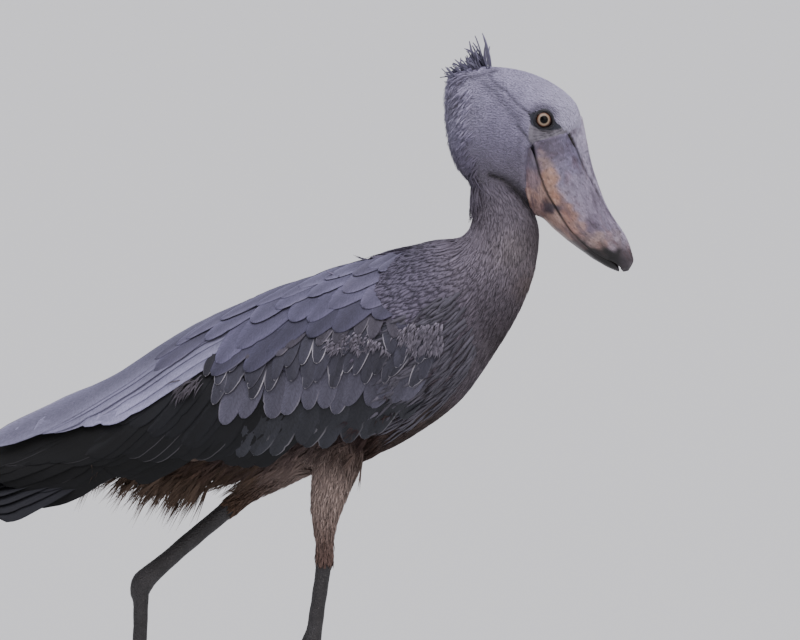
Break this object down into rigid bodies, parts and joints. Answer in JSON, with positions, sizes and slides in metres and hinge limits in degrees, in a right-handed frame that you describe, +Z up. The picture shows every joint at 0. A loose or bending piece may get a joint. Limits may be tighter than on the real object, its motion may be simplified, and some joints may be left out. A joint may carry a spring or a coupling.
{
  "type": "shoebill, life-size still model",
  "caption": "Life-size still shoebill in mid stride, head forward and bill turned down, with folded wings, short tail, long bare legs and spread toes.",
  "frame": {"origin": "on the floor, under the middle of the bird", "axes": "+X forward along the bill, +Y the bird's left side, +Z up"},
  "size_m": [0.8759, 0.2812, 1.048],
  "materials": {
    "plumage": "soft blue-grey and grey-brown contour feathers",
    "flight_feathers": "smooth near-black slate flight and tail feathers",
    "bill": "horn, mottled pinkish tan and grey, satin",
    "eye": "clear cornea over a pale straw iris",
    "leg_skin": "blackish fine-scaled skin, matte",
    "claw": "dark horn, satin"
  },
  "bodies": {
    "root": {"torso": "plumage", "neck": "plumage", "head": "plumage", "bill_upper": "bill", "bill_lower": "bill", "eye_left": "eye", "eye_right": "eye", "wing_left": "flight_feathers", "wing_right": "flight_feathers", "tail": "flight_feathers", "thigh_left": "plumage", "thigh_right": "plumage", "shank_left": "leg_skin", "shank_right": "leg_skin", "tarsus_left": "leg_skin", "tarsus_right": "leg_skin", "foot_left": "leg_skin", "foot_right": "leg_skin", "claw_left_inner": "claw", "claw_left_middle": "claw", "claw_left_outer": "claw", "claw_left_rear": "claw", "claw_right_inner": "claw", "claw_right_middle": "claw", "claw_right_outer": "claw", "claw_right_rear": "claw"}
  },
  "joints": []
}
